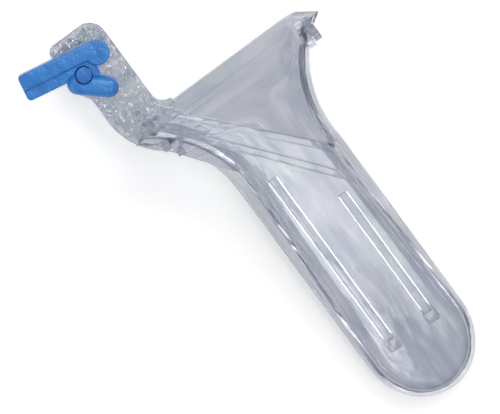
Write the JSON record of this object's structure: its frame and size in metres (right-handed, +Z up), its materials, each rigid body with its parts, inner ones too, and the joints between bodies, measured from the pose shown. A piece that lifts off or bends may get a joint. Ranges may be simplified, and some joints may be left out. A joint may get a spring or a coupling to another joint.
{
  "type": "bivalve speculum",
  "caption": "Clear plastic bivalve speculum with a flared slanted mouth, side levers and a blue screw and lever nut that hold the blades open.",
  "frame": {"origin": "on the resting plane, straight under the hinge axis, midway between the blade sides", "axes": "+X to the blade tips, -Y to the levers and the screw, +Z up from the flat underside of the lower valve"},
  "size_m": [0.1337, 0.0744, 0.0429],
  "materials": {
    "clear_plastic": "clear glossy moulded polystyrene",
    "blue_plastic": "opaque glossy moulded plastic"
  },
  "bodies": {
    "lower_valve": {"lower_valve": "clear_plastic"},
    "upper_valve": {"upper_valve": "clear_plastic"},
    "lock_screw": {"lock_screw": "blue_plastic"},
    "lock_nut": {"lock_nut": "blue_plastic"}
  },
  "joints": [
    {"name": "valve_hinge", "type": "hinge", "parent": "lower_valve", "child": "upper_valve", "pos_m": [0, 0, 0.01735], "axis": [0, -1, 0], "range_deg": [0, 30]},
    {"name": "screw_swing", "type": "hinge", "parent": "lower_valve", "child": "lock_screw", "pos_m": [-0.02883, -0.0295, 0.00904], "axis": [0, -1, 0], "range_deg": [0, 15]},
    {"name": "nut_travel", "type": "slide", "parent": "lock_screw", "child": "lock_nut", "axis": [-0.1306, 0, -0.9914], "range_m": [0, 0.015]}
  ],
  "couplings": [
    {"joint": "screw_swing", "follows": "valve_hinge", "ratio": 0.5},
    {"joint": "nut_travel", "follows": "valve_hinge", "m_per_rad": 0.0285}
  ]
}
